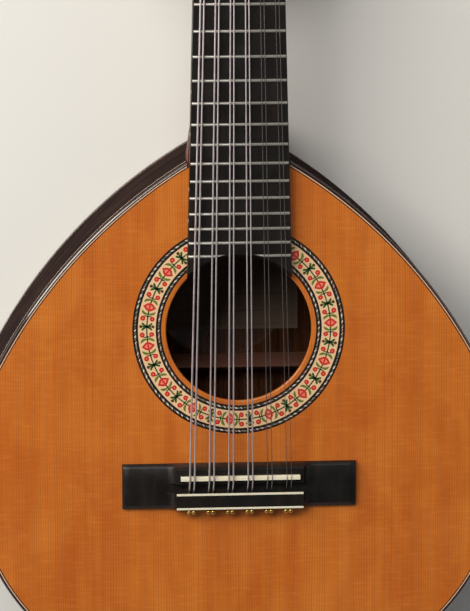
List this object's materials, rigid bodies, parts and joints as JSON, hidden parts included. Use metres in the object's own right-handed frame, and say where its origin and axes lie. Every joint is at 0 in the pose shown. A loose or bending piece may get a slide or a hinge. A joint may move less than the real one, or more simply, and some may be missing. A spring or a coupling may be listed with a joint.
{
  "type": "bandurria",
  "caption": "Flat-backed almond-shaped bandurria lying on its back, with paired strings, mosaic rosette, tilted head and turning worm-geared tuning keys.",
  "frame": {"origin": "bottom centre of the whole instrument's box, on the plane of the back plate", "axes": "+Z from the back to the soundboard, +Y along the neck to the head, +X to the treble side"},
  "size_m": [0.2784, 0.543, 0.082],
  "materials": {
    "binding_rosewood": "gloss",
    "bone": "polished",
    "cedar_block": "bare sanded",
    "cedar_top": "glossy lacquer over straight-grained cedar",
    "ebony": "oiled satin",
    "head_rosewood": "gloss",
    "key_button": "polished, pearl-like",
    "label_paper": "matte paper",
    "neck_mahogany": "satin lacquer",
    "nickel_plate": "nickel plate",
    "plain_string": "bright drawn wire",
    "rosette_mosaic": "lacquered mosaic",
    "rosewood": "gloss lacquer over dark rosewood",
    "spruce": "bare sanded",
    "wound_string": "fine winding"
  },
  "bodies": {
    "instrument": {"soundboard": "cedar_top", "rosette": "rosette_mosaic", "back_plate": "rosewood", "rib_right": "rosewood", "rib_left": "rosewood", "binding_top": "binding_rosewood", "binding_back": "binding_rosewood", "lining_back": "cedar_block", "lining_top": "cedar_block", "end_block": "cedar_block", "soundboard_bar_upper": "spruce", "soundboard_bar_lower": "spruce", "back_bar_upper": "spruce", "back_bar_lower": "spruce", "label": "label_paper", "neck": "neck_mahogany", "head_veneer": "head_rosewood", "fingerboard": "ebony", "nut": "bone", "bridge": "ebony", "saddle": "bone", "string_01": "wound_string", "string_02": "wound_string", "string_03": "wound_string", "string_04": "wound_string", "string_05": "wound_string", "string_06": "wound_string", "string_07": "wound_string", "string_08": "wound_string", "string_09": "plain_string", "string_10": "plain_string", "string_11": "plain_string", "string_12": "plain_string", "tuner_plate_left": "nickel_plate", "tuner_plate_right": "nickel_plate"},
    "key_01": {"key_01": "key_button"},
    "key_02": {"key_02": "key_button"},
    "key_03": {"key_03": "key_button"},
    "key_04": {"key_04": "key_button"},
    "key_05": {"key_05": "key_button"},
    "key_06": {"key_06": "key_button"},
    "key_07": {"key_07": "key_button"},
    "key_08": {"key_08": "key_button"},
    "key_09": {"key_09": "key_button"},
    "key_10": {"key_10": "key_button"},
    "key_11": {"key_11": "key_button"},
    "key_12": {"key_12": "key_button"},
    "post_01": {"post_01": "nickel_plate"},
    "post_02": {"post_02": "nickel_plate"},
    "post_03": {"post_03": "nickel_plate"},
    "post_04": {"post_04": "nickel_plate"},
    "post_05": {"post_05": "nickel_plate"},
    "post_06": {"post_06": "nickel_plate"},
    "post_07": {"post_07": "nickel_plate"},
    "post_08": {"post_08": "nickel_plate"},
    "post_09": {"post_09": "nickel_plate"},
    "post_10": {"post_10": "nickel_plate"},
    "post_11": {"post_11": "nickel_plate"},
    "post_12": {"post_12": "nickel_plate"}
  },
  "joints": [
    {"name": "key_01_turn", "type": "hinge", "parent": "instrument", "child": "key_01", "pos_m": [-0.024, 0.14425, 0.04248], "axis": [-1, 0, 0], "continuous": true},
    {"name": "key_02_turn", "type": "hinge", "parent": "instrument", "child": "key_02", "pos_m": [-0.024, 0.16463, 0.0374], "axis": [-1, 0, 0], "continuous": true},
    {"name": "key_03_turn", "type": "hinge", "parent": "instrument", "child": "key_03", "pos_m": [-0.024, 0.18501, 0.03232], "axis": [-1, 0, 0], "continuous": true},
    {"name": "key_04_turn", "type": "hinge", "parent": "instrument", "child": "key_04", "pos_m": [-0.024, 0.20538, 0.02724], "axis": [-1, 0, 0], "continuous": true},
    {"name": "key_05_turn", "type": "hinge", "parent": "instrument", "child": "key_05", "pos_m": [-0.024, 0.22576, 0.02216], "axis": [-1, 0, 0], "continuous": true},
    {"name": "key_06_turn", "type": "hinge", "parent": "instrument", "child": "key_06", "pos_m": [-0.024, 0.24613, 0.01708], "axis": [-1, 0, 0], "continuous": true},
    {"name": "key_07_turn", "type": "hinge", "parent": "instrument", "child": "key_07", "pos_m": [0.024, 0.24613, 0.01708], "axis": [1, 0, 0], "continuous": true},
    {"name": "key_08_turn", "type": "hinge", "parent": "instrument", "child": "key_08", "pos_m": [0.024, 0.22576, 0.02216], "axis": [1, 0, 0], "continuous": true},
    {"name": "key_09_turn", "type": "hinge", "parent": "instrument", "child": "key_09", "pos_m": [0.024, 0.20538, 0.02724], "axis": [1, 0, 0], "continuous": true},
    {"name": "key_10_turn", "type": "hinge", "parent": "instrument", "child": "key_10", "pos_m": [0.024, 0.18501, 0.03232], "axis": [1, 0, 0], "continuous": true},
    {"name": "key_11_turn", "type": "hinge", "parent": "instrument", "child": "key_11", "pos_m": [0.024, 0.16463, 0.0374], "axis": [1, 0, 0], "continuous": true},
    {"name": "key_12_turn", "type": "hinge", "parent": "instrument", "child": "key_12", "pos_m": [0.024, 0.14425, 0.04248], "axis": [1, 0, 0], "continuous": true},
    {"name": "post_01_turn", "type": "hinge", "parent": "instrument", "child": "post_01", "pos_m": [-0.024, 0.14315, 0.06244], "axis": [0, 0.2419, 0.9703], "continuous": true},
    {"name": "post_02_turn", "type": "hinge", "parent": "instrument", "child": "post_02", "pos_m": [-0.024, 0.16353, 0.05736], "axis": [0, 0.2419, 0.9703], "continuous": true},
    {"name": "post_03_turn", "type": "hinge", "parent": "instrument", "child": "post_03", "pos_m": [-0.024, 0.1839, 0.05228], "axis": [0, 0.2419, 0.9703], "continuous": true},
    {"name": "post_04_turn", "type": "hinge", "parent": "instrument", "child": "post_04", "pos_m": [-0.024, 0.20428, 0.0472], "axis": [0, 0.2419, 0.9703], "continuous": true},
    {"name": "post_05_turn", "type": "hinge", "parent": "instrument", "child": "post_05", "pos_m": [-0.024, 0.22465, 0.04212], "axis": [0, 0.2419, 0.9703], "continuous": true},
    {"name": "post_06_turn", "type": "hinge", "parent": "instrument", "child": "post_06", "pos_m": [-0.024, 0.24503, 0.03704], "axis": [0, 0.2419, 0.9703], "continuous": true},
    {"name": "post_07_turn", "type": "hinge", "parent": "instrument", "child": "post_07", "pos_m": [0.024, 0.24503, 0.03704], "axis": [0, 0.2419, 0.9703], "continuous": true},
    {"name": "post_08_turn", "type": "hinge", "parent": "instrument", "child": "post_08", "pos_m": [0.024, 0.22465, 0.04212], "axis": [0, 0.2419, 0.9703], "continuous": true},
    {"name": "post_09_turn", "type": "hinge", "parent": "instrument", "child": "post_09", "pos_m": [0.024, 0.20428, 0.0472], "axis": [0, 0.2419, 0.9703], "continuous": true},
    {"name": "post_10_turn", "type": "hinge", "parent": "instrument", "child": "post_10", "pos_m": [0.024, 0.1839, 0.05228], "axis": [0, 0.2419, 0.9703], "continuous": true},
    {"name": "post_11_turn", "type": "hinge", "parent": "instrument", "child": "post_11", "pos_m": [0.024, 0.16353, 0.05736], "axis": [0, 0.2419, 0.9703], "continuous": true},
    {"name": "post_12_turn", "type": "hinge", "parent": "instrument", "child": "post_12", "pos_m": [0.024, 0.14315, 0.06244], "axis": [0, 0.2419, 0.9703], "continuous": true}
  ],
  "couplings": [
    {"joint": "post_01_turn", "follows": "key_01_turn", "ratio": -0.071429},
    {"joint": "post_02_turn", "follows": "key_02_turn", "ratio": -0.071429},
    {"joint": "post_03_turn", "follows": "key_03_turn", "ratio": -0.071429},
    {"joint": "post_04_turn", "follows": "key_04_turn", "ratio": -0.071429},
    {"joint": "post_05_turn", "follows": "key_05_turn", "ratio": -0.071429},
    {"joint": "post_06_turn", "follows": "key_06_turn", "ratio": -0.071429},
    {"joint": "post_07_turn", "follows": "key_07_turn", "ratio": 0.071429},
    {"joint": "post_08_turn", "follows": "key_08_turn", "ratio": 0.071429},
    {"joint": "post_09_turn", "follows": "key_09_turn", "ratio": 0.071429},
    {"joint": "post_10_turn", "follows": "key_10_turn", "ratio": 0.071429},
    {"joint": "post_11_turn", "follows": "key_11_turn", "ratio": 0.071429},
    {"joint": "post_12_turn", "follows": "key_12_turn", "ratio": 0.071429}
  ]
}
